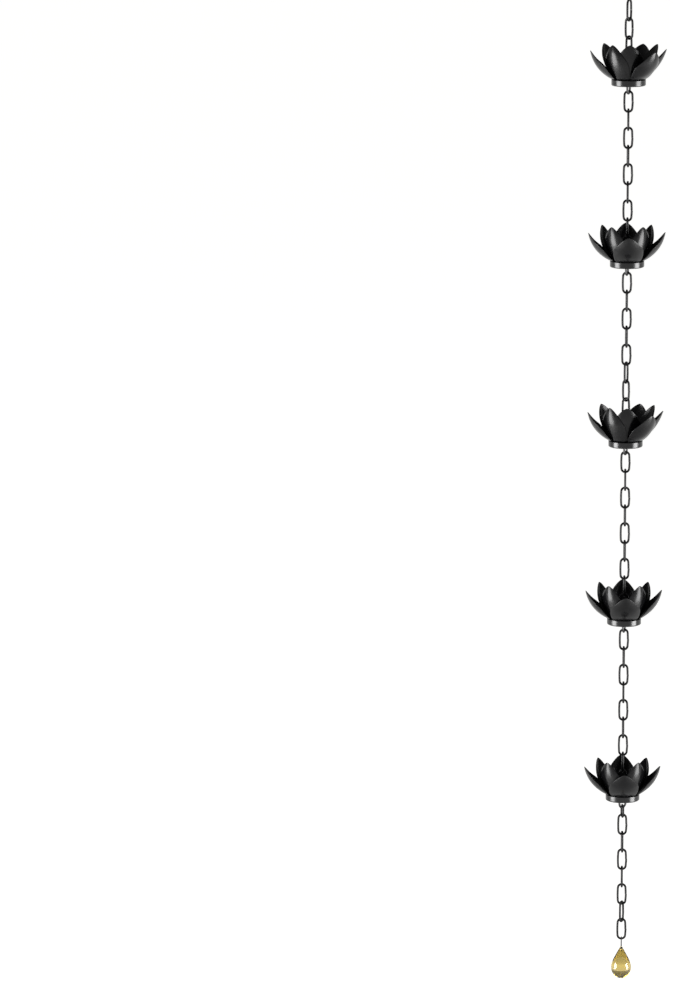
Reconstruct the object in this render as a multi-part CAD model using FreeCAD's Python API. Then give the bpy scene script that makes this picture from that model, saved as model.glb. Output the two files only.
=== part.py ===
import FreeCAD, Part

import math
import os

# A rain chain: bent wire links that hang from one another, with five flower cups on the way down and
# a glass drop at the end. Lengths are in millimetres. Z points up, X to the right, and the front
# faces -Y. The origin is where the top link rests on its hook.

os.makedirs("parts", exist_ok=True)
Vector = FreeCAD.Vector
UP = Vector(0, 0, 1)
CENTRE = Vector(0, 0, 0)

# Chain
wire = 3.4                    # round wire of the links and of the bar across each collar
link_length = 35.1            # over the outside
link_width = 16.0
short_link_length = 22.1      # the one short link, under the last cup
play = 0.3                    # left between two pieces that hang in each other
seam_gap = 0.4                # between the two wire ends that meet in one arm
bow = 4.0                     # degrees that each arm leans outward where it leaves a bend

# How far each link is turned about the chain, in degrees from facing the front
top_turns = (60, -36)
cup_link_turns = ((48, -38, 68), (90, 2, 72), (36, -45, 67), (91, -2, 72), (84, -28, 36))
run_turns = (
    (0, 88, -3, 92, 2, 86, -2),
    (1, 90, -2, 93, 1, 66, -47),
    (-2, 87, 3, 90, -1, 92, 1),
    (2, 91, -3, 88, 1, 90, -2),
)
short_link_turn = 100
tail_turns = (1, 92, -2, 88, -4, 64, -3)

# Collar of a cup: a pressed ring with a small lip turned in at the bottom
collar_radius = 26.5
collar_height = 9.3
collar_wall = 1.2
collar_bend = 2.0             # outside radius of the bend between wall and lip
collar_lip = 3.5              # how far the lip reaches in from the collar's outside
rim_round = 0.3
weld_gap = 0.05               # between pieces that are welded together
carrier_drop = 14.0           # how far the carrier link reaches below the collar

# Petals
sheet = 0.9
petal_length = 57.0           # along the middle, from the collar's edge to the tip
petal_width = 42.4            # at the widest place, round the hollow
foot_clearance = 0.15         # between the petal feet and the bar below them
foot_bend = 1.5               # radius of the outer petals' bend over the collar's edge, mid-sheet
layer_gap = 0.15              # between collar and outer petals, and between the layers
hollow_radius = 34.0          # of a petal's hollow, across its middle
crease = 0.18                 # how sharply the end of a petal is folded along its middle
# (fraction of the length above the collar, share of the full width there)
petal_outline = (
    (0.0, 0.689), (0.04, 0.741), (0.10, 0.811), (0.18, 0.887), (0.28, 0.962), (0.38, 1.0), (0.48, 0.986),
    (0.57, 0.915), (0.66, 0.802), (0.75, 0.656), (0.83, 0.505), (0.90, 0.344), (0.955, 0.193), (1.0, 0.042),
)
# The cups were bent by hand in two ways. Each petal: (direction round the cup from the front, layer
# counted from outside, mean slope, curl), in degrees.
front_petal_cup = (
    (0, 0, 56.5, 46), (90, 0, 52, 44), (180, 0, 66, 44), (270, 0, 48.5, 44),
    (43, 1, 76, 30), (127, 1, 70, 36), (235, 1, 70, 36), (315, 1, 76, 30),
)
side_petal_cup = (
    (270, 0, 51, 46), (46, 0, 48, 46), (130, 0, 50, 44),
    (316, 1, 66, 40), (88, 1, 55, 34), (167, 1, 61, 38),
    (6, 2, 72, 30), (212, 2, 68, 34),
)
cups = (side_petal_cup, front_petal_cup, side_petal_cup, front_petal_cup, front_petal_cup)

# Glass drop and the wire that carries it
tip_drop = 10.3               # how far the drop's tip hangs below the last link
hole_depth = 6.0              # from the tip to the middle of the hole
bail_wire = 1.5
bail_half_width = 5.6         # to the middle of the wire
bail_corner = 1.6             # radius of its two lower bends, along the middle of the wire
# (depth below the tip, radius there)
drop_outline = (
    (0.0, 0.0), (0.55, 1.0), (3.0, 2.5), (6.0, 4.2), (12.0, 7.6), (20.0, 11.8), (28.0, 14.9),
    (33.5, 15.9), (40.0, 15.0), (46.5, 11.4), (50.4, 6.3), (52.0, 0.0),
)

pitch = link_length - 2 * wire - play
short_pitch = short_link_length - 2 * wire - play
collar_inside = collar_radius - collar_wall
lip_radius = collar_radius - collar_lip
inner_bend = collar_bend - collar_wall
bar_height = collar_wall + weld_gap + wire / 2
foot_bottom = bar_height + wire / 2 + foot_clearance
foot_top = collar_height - rim_round


def save(node, *solids):
    """Writes one node, made of one solid or of several that are joined in the real object."""
    for solid in solids:
        if solid.ShapeType != "Solid" or not solid.isValid():
            raise ValueError(node + " isn't a clean solid")
    shape = solids[0] if len(solids) == 1 else Part.makeCompound(list(solids))
    shape.exportStep("parts/" + node + ".step")


def flat(x, z):
    return Vector(x, 0, z)


def arc_point(centre, radius, angle):
    """A point on an arc in the XZ plane, with the angle in degrees from +X towards +Z."""
    angle = math.radians(angle)
    return centre + flat(radius * math.cos(angle), radius * math.sin(angle))


def arc(centre, radius, start, end):
    through = [arc_point(centre, radius, angle) for angle in (start, (start + end) / 2, end)]
    return Part.Arc(*through).toShape()


def bent_rod(path, thickness, start, direction):
    """A round rod along edges that run smoothly into one another."""
    section = Part.Face(Part.Wire(Part.makeCircle(thickness / 2, start, direction)))
    return Part.Wire(path).makePipe(section).Solids[0]


def chain_link(length):
    """A link in the XZ plane, its middle at the origin, bent from one length of wire.

    The arms bow out a little. The wire's ends meet half way up the right arm. The lower end is
    straight and stands a little further out than the upper one, as on a link that is closed by hand.
    """
    half_length = (length - wire) / 2
    half_width = (link_width - wire) / 2
    lean = math.radians(bow)
    swell = math.tan(lean / 2)
    bend = (half_width - half_length * swell) / (math.cos(lean) - (1 - math.sin(lean)) * swell)
    top = flat(0, half_length - bend)
    bottom = flat(0, bend - half_length)
    arm_half = top.z + bend * math.sin(lean)
    arm_radius = arm_half / math.sin(lean)
    arm_centre = flat(half_width - arm_radius, 0)
    seam = math.degrees(seam_gap / 2 / arm_radius)

    low_bend_end = arc_point(bottom, bend, -bow)
    reach = arm_half - seam_gap / 2
    low_end = low_bend_end + flat(reach * math.tan(lean), reach)
    path = [
        Part.makeLine(low_end, low_bend_end),
        arc(bottom, bend, -bow, -180 + bow),
        arc(arm_centre * -1, arm_radius, 180 + bow, 180 - bow),
        arc(top, bend, 180 - bow, bow),
        arc(arm_centre, arm_radius, bow, seam),
    ]
    return bent_rod(path, wire, low_end, low_end - low_bend_end)


def hang(link, length, top, turn):
    """A copy of a link, turned, with the outside of its upper bend at height top."""
    placed = link.copy()
    placed.rotate(CENTRE, UP, turn)
    placed.translate(Vector(0, 0, top - length / 2))
    return placed


def make_collar():
    """The ring that holds a cup together, standing on z = 0."""
    bend_centre = flat(collar_radius - collar_bend, collar_bend)
    rim_outer = flat(collar_radius - rim_round, collar_height - rim_round)
    rim_inner = flat(collar_inside + rim_round, collar_height - rim_round)
    lip = [flat(bend_centre.x, collar_wall), flat(lip_radius, collar_wall), flat(lip_radius, 0),
           flat(bend_centre.x, 0)]
    edges = [Part.makeLine(a, b) for a, b in zip(lip, lip[1:])]
    edges += [
        arc(bend_centre, collar_bend, -90, 0),
        Part.makeLine(arc_point(bend_centre, collar_bend, 0), arc_point(rim_outer, rim_round, 0)),
        arc(rim_outer, rim_round, 0, 90),
        Part.makeLine(arc_point(rim_outer, rim_round, 90), arc_point(rim_inner, rim_round, 90)),
        arc(rim_inner, rim_round, 90, 180),
        Part.makeLine(arc_point(rim_inner, rim_round, 180), arc_point(bend_centre, inner_bend, 0)),
        arc(bend_centre, inner_bend, 0, -90),
    ]
    return Part.Face(Part.Wire(edges)).revolve(CENTRE, UP, 360)


def make_bar(turn):
    """The bar across the collar. It lies on the lip, beside the carrier link and welded to it."""
    aside = wire + weld_gap
    half = math.sqrt((collar_inside - inner_bend) ** 2 - (aside + wire / 2) ** 2)
    bar = Part.makeCylinder(wire / 2, 2 * half, Vector(-half, aside, bar_height), Vector(1, 0, 0))
    bar.rotate(CENTRE, UP, turn)
    return bar


def ease(x):
    x = min(max(x, 0.0), 1.0)
    return x * x * (3 - 2 * x)


def petal_middle(layer, slope, curl):
    """The middle line of a petal: (radius, height, slope, fraction above the collar, half width)."""
    radius = collar_inside - layer_gap - sheet / 2 - layer * (sheet + layer_gap)
    first = slope - curl / 2
    bend = foot_bend + layer * (sheet + layer_gap)
    half_width = petal_width / 2
    foot_width = half_width * petal_outline[0][1]
    line = [(radius, foot_bottom + (foot_top - foot_bottom) * n / 2, 90, 0, foot_width) for n in range(3)]
    for n in (1, 2, 3):
        turned = (90 - first) * n / 3
        out = bend * (1 - math.cos(math.radians(turned)))
        up = bend * math.sin(math.radians(turned))
        line.append((radius + out, foot_top + up, 90 - turned, 0, foot_width))
    radius, height = line[-1][:2]
    curl_radius = petal_length / math.radians(curl)
    for fraction, share in petal_outline[1:]:
        now = first + curl * fraction
        out = curl_radius * (math.sin(math.radians(now)) - math.sin(math.radians(first)))
        up = curl_radius * (math.cos(math.radians(first)) - math.cos(math.radians(now)))
        line.append((radius + out, height + up, now, fraction, half_width * share))
    return line


def across_petal(station):
    """Points across a petal's middle surface. Its foot follows the collar, and its blade is hollow."""
    radius, height, slope, fraction, half_width = station
    blade = ease((fraction - 0.05) / 0.4)
    hollow = radius + (hollow_radius - radius) * blade
    reach = math.asin(half_width / hollow)
    tilt = math.radians((90 - slope) * blade)
    fold = crease * half_width * ease((fraction - 0.5) / 0.5)
    points = []
    for n in range(-4, 5):
        angle = reach * n / 4
        raised = hollow * (1 - math.cos(angle)) + fold * (math.sqrt((n / 4) ** 2 + 0.02) - math.sqrt(0.02))
        points.append(Vector(hollow * math.sin(angle), raised * math.cos(tilt) - radius,
                             height + raised * math.sin(tilt)))
    return points


def smooth_surface(net):
    """A surface that follows a net of points smoothly, without waves between them."""
    knots = [list(range(count - 2)) for count in (len(net), len(net[0]))]
    repeats = [[4] + [1] * (len(places) - 2) + [4] for places in knots]
    surface = Part.BSplineSurface()
    surface.buildFromPolesMultsKnots(net, *repeats, *knots, False, False, 3, 3)
    return surface


def offset_net(net, distance):
    """The same net moved along its normals, towards the hollow side for a positive distance."""
    moved = []
    for i, row in enumerate(net):
        before, after = net[max(i - 1, 0)], net[min(i + 1, len(net) - 1)]
        moved.append([])
        for j, point in enumerate(row):
            along = after[j] - before[j]
            across = row[min(j + 1, len(row) - 1)] - row[max(j - 1, 0)]
            moved[-1].append(point + across.cross(along).normalize() * distance)
    return moved


def make_petal(direction, layer, slope, curl):
    """One petal, standing on the front of the collar and then turned to its place round the cup."""
    net = [across_petal(station) for station in petal_middle(layer, slope, curl)]
    skins = [smooth_surface(offset_net(net, side * sheet / 2)) for side in (-1, 1)]
    outlines = []
    for skin in skins:
        u0, u1, v0, v1 = skin.bounds()
        outlines.append([curve.toShape() for curve in
                         (skin.uIso(u0), skin.vIso(v1), skin.uIso(u1), skin.vIso(v0))])
    faces = [skin.toShape() for skin in skins]
    faces += [Part.makeRuledSurface(a, b) for a, b in zip(*outlines)]
    shell = Part.makeShell(faces)
    shell.sewShape()
    petal = Part.makeSolid(shell)
    if petal.Volume < 0:
        petal.reverse()
    petal.rotate(CENTRE, UP, direction)
    return petal


def make_drop():
    """The glass drop, its tip at the origin, with a hole drilled through from front to back."""
    side = Part.BSplineCurve()
    side.interpolate([flat(radius, -depth) for depth, radius in drop_outline])
    axis = Part.makeLine(flat(0, -drop_outline[-1][0]), flat(0, 0))
    back = Part.Face(Part.Wire([side.toShape(), axis])).revolve(CENTRE, UP, 180)
    front = back.copy()
    front.rotate(CENTRE, UP, 180)
    widest = max(radius for depth, radius in drop_outline)
    hole = Part.makeCylinder(bail_wire / 2 + play, 2 * widest, Vector(0, -widest, -hole_depth),
                             Vector(0, 1, 0))
    return back.fuse(front).cut(hole).Solids[0]


def make_bail(height):
    """The bent wire that carries the drop, in the YZ plane with its straight pin at z = 0.

    The wire's ends meet in the middle of the pin, inside the drop.
    """
    top_bend = wire / 2 + play + bail_wire / 2
    top = flat(0, height - top_bend)
    corner = flat(bail_half_width - bail_corner, bail_corner)
    fall = corner - top
    outward = math.degrees(math.atan2(fall.z, fall.x) + math.acos((top_bend - bail_corner) / fall.Length))
    left = flat(-corner.x, corner.z)
    start = flat(seam_gap / 4, 0)
    path = [
        Part.makeLine(start, flat(corner.x, 0)),
        arc(corner, bail_corner, -90, outward),
        Part.makeLine(arc_point(corner, bail_corner, outward), arc_point(top, top_bend, outward)),
        arc(top, top_bend, outward, 180 - outward),
        Part.makeLine(arc_point(top, top_bend, 180 - outward), arc_point(left, bail_corner, 180 - outward)),
        arc(left, bail_corner, 180 - outward, 270),
        Part.makeLine(flat(left.x, 0), flat(-start.x, 0)),
    ]
    bail = bent_rod(path, bail_wire, start, Vector(1, 0, 0))
    bail.rotate(CENTRE, UP, 90)
    return bail


link = chain_link(link_length)
collar = make_collar()
flowers = {petals: [make_petal(*petal) for petal in petals] for petals in set(cups)}

# The chain is hung from the top down. The first link's upper bend rests on the hook with its inside.
top = wire
for number, turn in enumerate(top_turns, start=1):
    save("top_link_%d" % number, hang(link, link_length, top, turn))
    top -= pitch

for cup, (upper_turn, middle_turn, carrier_turn) in enumerate(cup_link_turns, start=1):
    save("cup_%d_upper_link" % cup, hang(link, link_length, top, upper_turn))
    save("cup_%d_middle_link" % cup, hang(link, link_length, top - pitch, middle_turn))
    carrier_top = top - 2 * pitch
    base = Vector(0, 0, carrier_top - link_length + carrier_drop)
    ring = collar.copy()
    ring.translate(base)
    bar = make_bar(carrier_turn)
    bar.translate(base)
    save("cup_%d_frame" % cup, ring, bar, hang(link, link_length, carrier_top, carrier_turn))
    flower = [petal.copy() for petal in flowers[cups[cup - 1]]]
    for petal in flower:
        petal.translate(base)
    save("cup_%d_petals" % cup, *flower)
    top = carrier_top - pitch
    if cup <= len(run_turns):
        for number, turn in enumerate(run_turns[cup - 1], start=1):
            save("run_%d_link_%d" % (cup, number), hang(link, link_length, top, turn))
            top -= pitch

save("short_link", hang(chain_link(short_link_length), short_link_length, top, short_link_turn))
top -= short_pitch
for number, turn in enumerate(tail_turns, start=1):
    save("tail_link_%d" % number, hang(link, link_length, top, turn))
    top -= pitch

last_link_bottom = top + pitch - link_length
tip = last_link_bottom - tip_drop
pin = tip - hole_depth
bail = make_bail(last_link_bottom + wire + play + bail_wire / 2 - pin)
bail.translate(Vector(0, 0, pin))
save("drop_bail", bail)
drop = make_drop()
drop.translate(Vector(0, 0, tip))
save("glass_drop", drop)
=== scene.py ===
# %% [markdown]
# # A rain chain with flower cups
# A rain chain leads water down from a gutter. Ours is all bent wire and pressed sheet: long links that hang
# from one another, five open flower cups on the way down, and a glass drop at the end. The engineering
# model already holds every link and collar at its real size. In this notebook we load it as a fixed frame,
# remake the parts whose charm is in their edges, give every surface a finish, and light it like a
# catalogue picture.

# %% Load the frame
import math

import bpy
import numpy as np
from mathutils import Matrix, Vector


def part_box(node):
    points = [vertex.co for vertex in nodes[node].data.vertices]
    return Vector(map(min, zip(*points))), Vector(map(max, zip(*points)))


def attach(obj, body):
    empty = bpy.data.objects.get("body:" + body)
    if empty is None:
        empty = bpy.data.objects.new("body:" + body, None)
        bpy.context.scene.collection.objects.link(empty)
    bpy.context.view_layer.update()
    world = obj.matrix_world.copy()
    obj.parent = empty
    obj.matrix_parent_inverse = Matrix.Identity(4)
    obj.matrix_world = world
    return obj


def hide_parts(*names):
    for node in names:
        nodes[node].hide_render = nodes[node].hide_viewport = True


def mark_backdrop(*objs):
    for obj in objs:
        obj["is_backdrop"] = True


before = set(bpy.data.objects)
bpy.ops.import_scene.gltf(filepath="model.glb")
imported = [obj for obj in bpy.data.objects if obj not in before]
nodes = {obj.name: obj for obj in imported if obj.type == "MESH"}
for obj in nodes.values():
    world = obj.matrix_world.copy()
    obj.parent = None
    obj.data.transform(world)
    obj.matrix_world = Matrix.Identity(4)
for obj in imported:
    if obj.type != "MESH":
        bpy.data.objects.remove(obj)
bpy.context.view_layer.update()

MM = 0.001

# %% [markdown]
# ## Working with procedural materials
# Each finish below is a small net of shader nodes. Writing them through the interface takes many clicks, and
# in code it takes many lines, so we first make a little helper. It holds one material, adds nodes to it, and
# accepts either a plain value or another node's output for each socket. Object coordinates are in metres and
# stick to the piece when it swings, so every pattern is given a size in millimetres.

# %% A helper for materials
class Finish:
    def __init__(self, name):
        self.material = bpy.data.materials.new(name)
        self.material.use_nodes = True
        self.tree = self.material.node_tree
        self.shader = self.tree.nodes["Principled BSDF"]
        self.place = self.add("ShaderNodeTexCoord").outputs["Object"]

    def add(self, kind, settings=None, **sockets):
        node = self.tree.nodes.new(kind)
        for key, value in (settings or {}).items():
            setattr(node, key, value)
        for name, value in sockets.items():
            self.set(node.inputs[name.replace("_", " ")], value)
        return node

    def set(self, socket, value):
        if isinstance(value, bpy.types.NodeSocket):
            self.tree.links.new(value, socket)
        else:
            socket.default_value = value

    def noise(self, size_mm, detail=2.0, roughness=0.5):
        """Noise whose blotches are about size_mm across."""
        made = self.add("ShaderNodeTexNoise", Vector=self.place, Scale=1 / (size_mm * MM), Detail=detail,
                        Roughness=roughness)
        return made.outputs["Fac"]

    def spread(self, value, low, high, start=0.3, end=0.7):
        """Stretches a noise value so that it runs from low to high."""
        made = self.add("ShaderNodeMapRange", Value=value, From_Min=start, From_Max=end,
                        To_Min=low, To_Max=high)
        return made.outputs["Result"]

    def combine(self, operation, first, second):
        made = self.add("ShaderNodeMath", {"operation": operation})
        self.set(made.inputs[0], first)
        self.set(made.inputs[1], second)
        return made.outputs[0]

    def tint(self, factor, dark, light):
        ramp = self.add("ShaderNodeMix", {"data_type": "RGBA"})
        self.set(ramp.inputs["Factor"], factor)
        self.set(ramp.inputs[6], (*dark, 1))
        self.set(ramp.inputs[7], (*light, 1))
        return ramp.outputs[2]

    def bump(self, height, depth_mm, below=None):
        made = self.add("ShaderNodeBump", Height=height, Distance=depth_mm * MM, Strength=1.0)
        if below is not None:
            self.set(made.inputs["Normal"], below)
        return made.outputs["Normal"]

    def wear(self, **sockets):
        """Sets the sockets of the surface shader."""
        for name, value in sockets.items():
            self.set(self.shader.inputs[name.replace("_", " ")], value)
        return self.material


print("the helper is ready")

# %% [markdown]
# ## The black powder coat
# The cups are sprayed with black powder and baked. Seen close, such a coat is a fine grain that sparkles a
# little in the light, over a soft orange-peel skin. The pressed petals also keep faint waves from the forming
# tool. We could paint all of that as colour, but the coat is almost one colour, and what the eye reads is how
# it bends light. So most of it goes into the bump and the roughness, at three sizes: the grain, the skin and
# the waves.

# %% Powder coat
def powder_coat(name, waves_mm, gloss):
    coat = Finish(name)
    grain = coat.noise(0.55, detail=1.0)
    skin = coat.noise(2.6)
    cloud = coat.noise(14, detail=3.0)
    colour = coat.tint(coat.spread(grain, 0, 1, 0.35, 0.75), (0.0015, 0.0015, 0.0017), (0.0045, 0.0045, 0.005))
    formed = coat.bump(coat.noise(24, detail=1.5), waves_mm)
    skinned = coat.bump(skin, 0.02, formed)
    grained = coat.bump(grain, 0.01, skinned)
    rough = coat.spread(cloud, 0.2, 0.27)
    coat.shader.inputs["Specular IOR Level"].default_value = gloss
    return coat.wear(Base_Color=colour, Roughness=rough, Normal=grained)


petal_coat = powder_coat("petal powder coat", 0.25, 0.23)
collar_coat = powder_coat("collar powder coat", 0.1, 0.4)
print("made", petal_coat.name, "and", collar_coat.name)

# %% [markdown]
# ## The wire's enamel
# The links are dipped rather than sprayed, so their black is glossier and shows long bright lines down the
# wire. The lines must not be perfect: the drawn wire has faint dents where the bending tool held it, and the
# enamel runs a little thicker here and there.

# %% Wire enamel
def wire_enamel():
    enamel = Finish("wire enamel")
    drawn = enamel.noise(5.5, detail=2.0)
    speck = enamel.noise(0.7, detail=1.0)
    colour = enamel.tint(enamel.spread(drawn, 0, 1), (0.003, 0.003, 0.0033), (0.009, 0.009, 0.0095))
    dented = enamel.bump(drawn, 0.04)
    specked = enamel.bump(speck, 0.005, dented)
    enamel.shader.inputs["Specular IOR Level"].default_value = 0.16
    return enamel.wear(Base_Color=colour, Roughness=enamel.spread(drawn, 0.16, 0.26), Normal=specked)


enamel = wire_enamel()
for name, node in nodes.items():
    node.data.materials.clear()
    node.data.materials.append(collar_coat if name.endswith("_frame") else enamel)
print("coated", len(nodes), "nodes")

# %% [markdown]
# ## The petals' shape
# A petal is one piece of sheet. Its foot follows the collar, then it bends out over the collar's edge and
# curls up again, and its blade is hollow and ends in a folded point. The engineering model keeps its cut edge
# square. On the real petal the coat rounds that edge over, and the thin bright line that this leaves is what
# draws the flower. Bevelling the imported triangles would give uneven rims, so we build each petal anew: a net
# of points across its middle, smoothed, with a rounded rim all round. Sheet, foot and length are those of the
# engineering model. The blade is a little wider and the slopes differ by a few degrees, because they are
# fitted once more to the photograph, where every cup shows the hand that bent it.

# %% Measures of the cups
SHEET = 0.9
COLLAR_INSIDE = 25.3
CARRIER_DROP = 14.0      # from the bottom of the carrier link up to the collar
FOOT_BOTTOM = 4.8        # heights above the bottom of the collar
FOOT_TOP = 9.0
FOOT_BEND = 1.5          # radius of the outer petals' bend over the collar's edge
LAYER_GAP = 0.15         # between collar and outer petals, and between the layers
PETAL_LENGTH = 57.0
PETAL_WIDTH = 46.0       # at the widest place, round the hollow
HOLLOW_RADIUS = 32.0
CREASE = 0.18            # how sharply the end of a petal is folded along its middle
# Fraction of the length above the collar, share of the full width there
OUTLINE = (
    (0.0, 0.66), (0.04, 0.74), (0.10, 0.84), (0.18, 0.93), (0.28, 0.985), (0.38, 1.0), (0.48, 0.975),
    (0.57, 0.91), (0.66, 0.81), (0.75, 0.68), (0.83, 0.54), (0.90, 0.395), (0.955, 0.245), (0.985, 0.125),
    (1.0, 0.03),
)
# Direction round the cup from the front, layer counted from outside, mean slope and curl, in degrees
FRONT_PETAL_CUP = (
    (0, 0, 50, 58), (90, 0, 53, 60), (180, 0, 74, 40), (270, 0, 51, 60),
    (41, 1, 79, 42), (117, 2, 70, 60), (241, 2, 69, 60), (315, 1, 78, 44),
)
SIDE_PETAL_CUP = (
    (270, 0, 52.5, 58), (42, 0, 54, 58), (152, 0, 62, 36),
    (315, 1, 77, 50), (86, 1, 54, 42), (232, 1, 66.5, 36),
    (0, 2, 75, 32), (112, 2, 64, 36),
)
CUPS = (SIDE_PETAL_CUP, FRONT_PETAL_CUP, SIDE_PETAL_CUP, FRONT_PETAL_CUP, FRONT_PETAL_CUP)
collar_base = [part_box("cup_%d_frame" % cup)[0].z / MM + CARRIER_DROP for cup in range(1, len(CUPS) + 1)]
print("collars stand at", [round(height, 1) for height in collar_base], "mm")


# %% [markdown]
# The next cell walks along the petal's middle line, from the foot up over the bend to the tip, and at each
# stop lays nine points across. The blade starts as flat as the collar is round and becomes hollow further up,
# and its end is folded along the middle.

# %% Net of one petal
ACROSS = 9                     # points across the petal
HOLLOWING = (0.05, 0.4)        # fraction where the hollow starts, and over which it deepens
FOLDING = (0.5, 0.5)           # the same for the fold
FOLD_SOFTNESS = 0.02


def ease(x):
    x = min(max(x, 0.0), 1.0)
    return x * x * (3 - 2 * x)


def petal_middle(layer, slope, curl):
    """Stops along the middle line: radius, height, slope, fraction above the collar, half width."""
    radius = COLLAR_INSIDE - LAYER_GAP - SHEET / 2 - layer * (SHEET + LAYER_GAP)
    first = slope - curl / 2
    bend = FOOT_BEND + layer * (SHEET + LAYER_GAP)
    foot_width = PETAL_WIDTH / 2 * OUTLINE[0][1]
    line = [(radius, FOOT_BOTTOM + (FOOT_TOP - FOOT_BOTTOM) * n / 2, 90, 0, foot_width) for n in range(3)]
    for n in (1, 2, 3):
        turned = math.radians((90 - first) * n / 3)
        line.append((radius + bend * (1 - math.cos(turned)), FOOT_TOP + bend * math.sin(turned),
                     90 - math.degrees(turned), 0, foot_width))
    radius, height = line[-1][:2]
    curl_radius = PETAL_LENGTH / math.radians(curl)
    start = math.radians(first)
    for fraction, share in OUTLINE[1:]:
        now = start + math.radians(curl * fraction)
        line.append((radius + curl_radius * (math.sin(now) - math.sin(start)),
                     height + curl_radius * (math.cos(start) - math.cos(now)),
                     math.degrees(now), fraction, PETAL_WIDTH / 2 * share))
    return line


def across_petal(stop):
    radius, height, slope, fraction, half_width = stop
    blade = ease((fraction - HOLLOWING[0]) / HOLLOWING[1])
    hollow = radius + (HOLLOW_RADIUS - radius) * blade
    reach = math.asin(half_width / hollow)
    tilt = math.radians((90 - slope) * blade)
    fold = CREASE * half_width * ease((fraction - FOLDING[0]) / FOLDING[1])
    points = []
    for share in np.linspace(-1, 1, ACROSS):
        angle = reach * share
        crest = math.sqrt(share ** 2 + FOLD_SOFTNESS) - math.sqrt(FOLD_SOFTNESS)
        raised = hollow * (1 - math.cos(angle)) + fold * crest
        points.append((hollow * math.sin(angle), raised * math.cos(tilt) - radius,
                       height + raised * math.sin(tilt)))
    return points


net = np.array([across_petal(stop) for stop in petal_middle(0, 56.5, 46)])
print("one petal's net:", net.shape[0], "rows of", net.shape[1], "points")

# %% [markdown]
# Nine points across would look like a paper fan. A cubic B-spline turns the net into a smooth sheet: each
# place on it is a blend of the sixteen points around it. We work out the blend weights once for the rows and
# once for the columns, and then a whole sheet is two matrix products.

# %% From net to smooth sheet
def blend_weights(count, places):
    """Weights of a cubic B-spline with `count` points, at places between 0 and 1."""
    knots = np.concatenate([[0] * 3, np.arange(count - 2), [count - 3] * 3]).astype(float)
    at = np.clip(np.asarray(places) * (count - 3), 0, count - 3 - 1e-9)
    weights = np.array([(knots[i] <= at) & (at < knots[i + 1]) for i in range(len(knots) - 1)], float)
    for degree in (1, 2, 3):
        raised = np.zeros((len(weights) - 1, len(at)))
        for i in range(len(raised)):
            rise = knots[i + degree] - knots[i]
            fall = knots[i + degree + 1] - knots[i + 1]
            if rise:
                raised[i] += (at - knots[i]) / rise * weights[i]
            if fall:
                raised[i] += (knots[i + degree + 1] - at) / fall * weights[i + 1]
        weights = raised
    return weights.T


def offset_net(net, distance):
    """The net moved along its normals, towards the hollow side for a positive distance."""
    along = np.empty_like(net)
    along[1:-1] = net[2:] - net[:-2]
    along[0], along[-1] = net[1] - net[0], net[-1] - net[-2]
    across = np.empty_like(net)
    across[:, 1:-1] = net[:, 2:] - net[:, :-2]
    across[:, 0], across[:, -1] = net[:, 1] - net[:, 0], net[:, -1] - net[:, -2]
    normal = np.cross(across, along)
    return net + normal / np.linalg.norm(normal, axis=2, keepdims=True) * distance


print("weights of the middle add up to", blend_weights(ACROSS, [0.5]).sum().round(6))

# %% [markdown]
# Now the body of the sheet. At every row we take the outer and the inner skin, stop both just short of the
# edge, and join them round the edge with a half round. Each row is then one closed loop, and the petal is a
# stack of loops, which gives clean four-sided faces everywhere.

# %% Petal mesh
ROWS, COLUMNS, RIM_STEPS = 58, 28, 5
TIP_CROWDING = 1.25            # above 1, the rows stand closer near the tip
FINE_STEPS = 161               # places across a row at which its width is measured


def petal_mesh(layer, slope, curl):
    """Loops of points (row by row) of one petal that stands on the front of its collar."""
    net = np.array([across_petal(stop) for stop in petal_middle(layer, slope, curl)])
    places = 1 - (1 - np.linspace(0, 1, ROWS)) ** TIP_CROWDING
    rows = blend_weights(len(net), places)
    columns = blend_weights(ACROSS, np.linspace(0, 1, FINE_STEPS))
    skins = [np.einsum("rn,nmk,cm->rck", rows, offset_net(net, side * SHEET / 2), columns)
             for side in (-1, 1)]
    loops = []
    for outer, inner in zip(*skins):
        middle = (outer + inner) / 2
        steps = np.concatenate([[0], np.cumsum(np.linalg.norm(np.diff(middle, axis=0), axis=1))])
        rim = min(SHEET / 2, 0.42 * steps[-1])
        stops = np.linspace(rim, steps[-1] - rim, COLUMNS)
        sides = [np.stack([np.interp(stops, steps, skin[:, k]) for k in range(3)], axis=1)
                 for skin in (outer, inner)]
        loop = list(sides[0])
        for end, here, there in ((-1, 0, 1), (0, 1, 0)):
            centre = (sides[0][end] + sides[1][end]) / 2
            up = (sides[here][end] - sides[there][end]) / 2
            out = middle[end] - centre
            out = out / np.linalg.norm(out) * rim
            for n in range(1, RIM_STEPS):
                angle = math.pi / 2 - math.pi * n / RIM_STEPS
                loop.append(centre + up * math.sin(angle) + out * math.cos(angle))
            if end == -1:
                loop.extend(sides[1][::-1])
        loops.append(loop)
    return np.array(loops)


def loop_faces(rows, around):
    faces = [(r * around + c, r * around + (c + 1) % around,
              (r + 1) * around + (c + 1) % around, (r + 1) * around + c)
             for r in range(rows - 1) for c in range(around)]
    return faces + [tuple(range(around))[::-1], tuple(range((rows - 1) * around, rows * around))]


def new_piece(name, points_mm, faces, material):
    mesh = bpy.data.meshes.new(name)
    mesh.from_pydata((np.asarray(points_mm) * MM).tolist(), [], faces)
    mesh.materials.append(material)
    mesh.polygons.foreach_set("use_smooth", [True] * len(mesh.polygons))
    mesh.validate()
    piece = bpy.data.objects.new(name, mesh)
    bpy.context.scene.collection.objects.link(piece)
    return piece


loops = petal_mesh(0, 56.5, 46)
print("a petal has", loops.shape[0], "loops of", loops.shape[1], "points")

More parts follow.
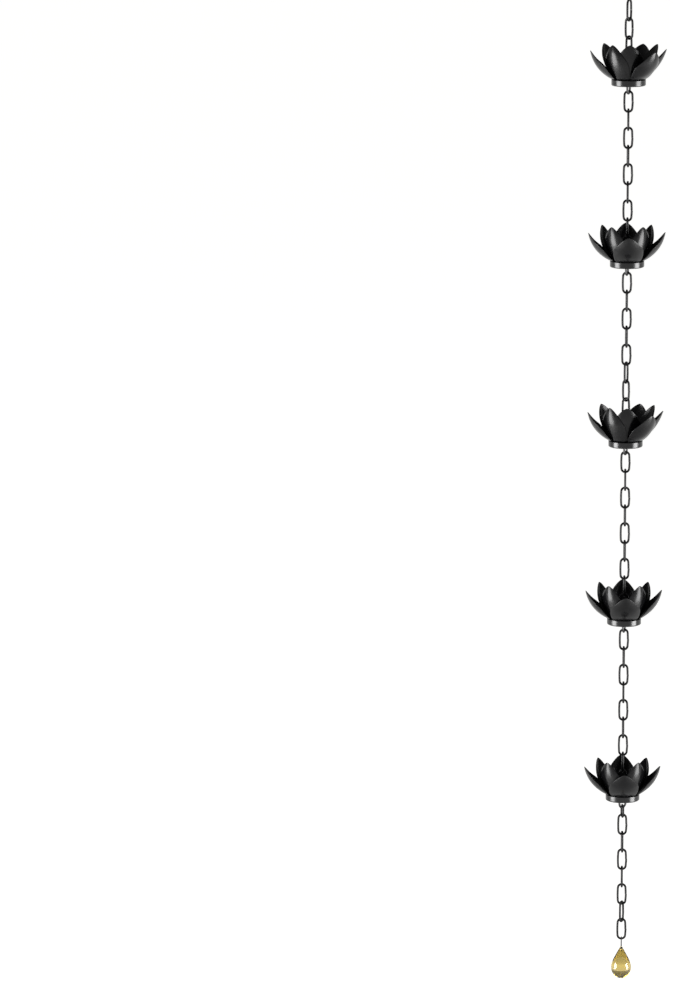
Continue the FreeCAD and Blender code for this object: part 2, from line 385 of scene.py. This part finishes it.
# %% [markdown]
# With one petal in hand, a cup is a matter of turning copies into place. The cups were bent by hand in two
# ways, so the list gives each petal its own direction, layer, slope and curl.

# %% Five flowers
def make_flower(name, petals, base, material):
    points, faces = [], []
    for direction, layer, slope, curl in petals:
        loops = petal_mesh(layer, slope, curl)
        turn = math.radians(direction)
        rows, around = loops.shape[:2]
        x, y, z = loops.reshape(-1, 3).T
        first = len(points)
        points.extend(np.stack([x * math.cos(turn) - y * math.sin(turn),
                                x * math.sin(turn) + y * math.cos(turn), z + base], axis=1))
        faces.extend(tuple(first + i for i in face) for face in loop_faces(rows, around))
    return new_piece(name, points, faces, material)


for cup, petals in enumerate(CUPS, start=1):
    flower = make_flower("cup_%d_flower" % cup, petals, collar_base[cup - 1], petal_coat)
    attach(flower, "cup_%d" % cup)
    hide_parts("cup_%d_petals" % cup)
    print(flower.name, len(flower.data.polygons), "faces")

# %% [markdown]
# ## The glass drop
# The drop is solid amber glass. Glass is mostly what it does to the light behind it, so its colour goes into
# the body of the piece rather than on its skin: thick places come out deep orange and thin ones pale. The
# surface keeps the slow waves of hand-worked glass.

# %% Amber glass
def amber_glass():
    glass = Finish("amber glass")
    slow = glass.noise(16, detail=1.0)
    colour = glass.tint(glass.spread(slow, 0, 1), (0.8, 0.67, 0.33), (0.88, 0.76, 0.42))
    glass.wear(Base_Color=colour, Roughness=0.02, IOR=1.5, Transmission_Weight=1.0,
               Normal=glass.bump(slow, 0.25))
    body = glass.add("ShaderNodeVolumeAbsorption", Color=(0.78, 0.7, 0.3, 1), Density=42.0)
    glass.tree.links.new(body.outputs[0], glass.tree.nodes["Material Output"].inputs["Volume"])
    return glass.material


nodes["glass_drop"].data.materials[0] = amber_glass()
print("the drop is amber glass")

# %% [markdown]
# ## Stage, light and camera
# The picture is taken against pale, even white, so the floor is pale and far below. Black gloss shows only
# what it mirrors: two tall soft boxes at the sides draw the long lines on the wire, the two soft zones on
# each collar and the shine on the petals. The sky stays dim overhead, so the hollows of the flowers keep
# their depth, and the floor right under the chain glows less, so the petals that face down stay dark.

# %% Floor and sky
FLOOR = -2.6                   # metres below the hook
FLOOR_HALF = 60.0
GLOW = (0.05, 0.9)             # under the chain and far away
GLOW_DISTANCE = (2.7, 4.0)     # metres from the hook at which it starts to rise and is full
HORIZON, ZENITH = (0.4, 0.4, 0.395, 1), (0.13, 0.13, 0.135, 1)


def make_floor():
    corners = [(x * FLOOR_HALF, y * FLOOR_HALF, FLOOR) for x, y in ((-1, -1), (1, -1), (1, 1), (-1, 1))]
    mesh = bpy.data.meshes.new("floor")
    mesh.from_pydata(corners, [], [(0, 1, 2, 3)])
    floor = bpy.data.objects.new("floor", mesh)
    bpy.context.scene.collection.objects.link(floor)
    paint = Finish("pale floor")
    paint.wear(Base_Color=(0.7, 0.7, 0.69, 1), Roughness=0.9)
    paint.shader.inputs["Specular IOR Level"].default_value = 0.0
    rays = paint.add("ShaderNodeLightPath").outputs
    seen = paint.combine("MAXIMUM", rays["Is Glossy Ray"], rays["Is Transmission Ray"])
    seen = paint.combine("MAXIMUM", rays["Is Camera Ray"], seen)
    away = paint.add("ShaderNodeVectorMath", {"operation": "LENGTH"}, Vector=paint.place).outputs["Value"]
    strength = paint.combine("MULTIPLY", seen, paint.spread(away, *GLOW, *GLOW_DISTANCE))
    glow = paint.add("ShaderNodeEmission", Color=(1, 1, 0.985, 1), Strength=strength)
    both = paint.add("ShaderNodeAddShader")
    paint.set(both.inputs[0], glow.outputs[0])
    paint.set(both.inputs[1], paint.shader.outputs[0])
    paint.set(paint.tree.nodes["Material Output"].inputs["Surface"], both.outputs[0])
    mesh.materials.append(paint.material)
    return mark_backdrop(floor)


def make_sky():
    world = bpy.data.worlds.new("studio")
    bpy.context.scene.world = world
    world.use_nodes = True
    tree = world.node_tree
    way = tree.nodes.new("ShaderNodeTexCoord").outputs["Generated"]
    height = tree.nodes.new("ShaderNodeSeparateXYZ")
    tree.links.new(way, height.inputs[0])
    ramp = tree.nodes.new("ShaderNodeValToRGB")
    tree.links.new(height.outputs["Z"], ramp.inputs[0])
    for element, position, colour in zip(ramp.color_ramp.elements, (0.02, 0.5), (HORIZON, ZENITH)):
        element.position = position
        element.color = colour
    tree.links.new(ramp.outputs[0], tree.nodes["Background"].inputs["Color"])
    tree.nodes["Background"].inputs["Strength"].default_value = 1.0


make_floor()
make_sky()
print("floor at", FLOOR, "m")

# %% [markdown]
# Now the lamps. Two boxes stand four metres off at the sides, a little in front of the chain, and reach from
# the hook down close to the floor, so that the lowest collar mirrors them as the highest one does. A small light
# above the front keeps the insides of the cups from going flat black.

# %% Soft boxes
def soft_box(name, place, target, width, height, power):
    lamp = bpy.data.lights.new(name, "AREA")
    lamp.shape = "RECTANGLE"
    lamp.size, lamp.size_y = width, height
    lamp.energy = power
    box = bpy.data.objects.new(name, lamp)
    box.location = place
    box.rotation_euler = (Vector(target) - Vector(place)).to_track_quat("-Z", "Y").to_euler()
    bpy.context.scene.collection.objects.link(box)
    return box


middle = (0, 0, -1.35)
lamps = [
    soft_box("left box", (-3.8, -1.2, -1.35), middle, 2.2, 2.3, 290),
    soft_box("right box", (3.7, -1.45, -1.35), middle, 2.2, 2.3, 290),
    soft_box("top light", (-0.3, -1.2, 1.3), (0, 0, -0.6), 0.6, 0.6, 8),
]
print(len(lamps), "lamps")

# %% [markdown]
# The chain hangs at the right of the picture and fills its height. A long lens far away keeps all five cups
# at nearly the same angle, about ten degrees from above. Standing to the left of the chain and looking
# straight ahead also gives its slight lean, without any roll.

# %% Camera
camera_data = bpy.data.cameras.new("camera")
camera_data.lens = 216.54
camera_data.sensor_width = 36.0
camera_data.clip_end = 200.0
camera = bpy.data.objects.new("camera", camera_data)
camera.location = (-0.447, -9.0, 0.828)
camera.rotation_euler = (math.radians(80.0), 0, 0)
bpy.context.scene.collection.objects.link(camera)
bpy.context.scene.camera = camera
bpy.context.scene.view_settings.view_transform = "Standard"
print("camera", round(camera_data.lens), "mm")
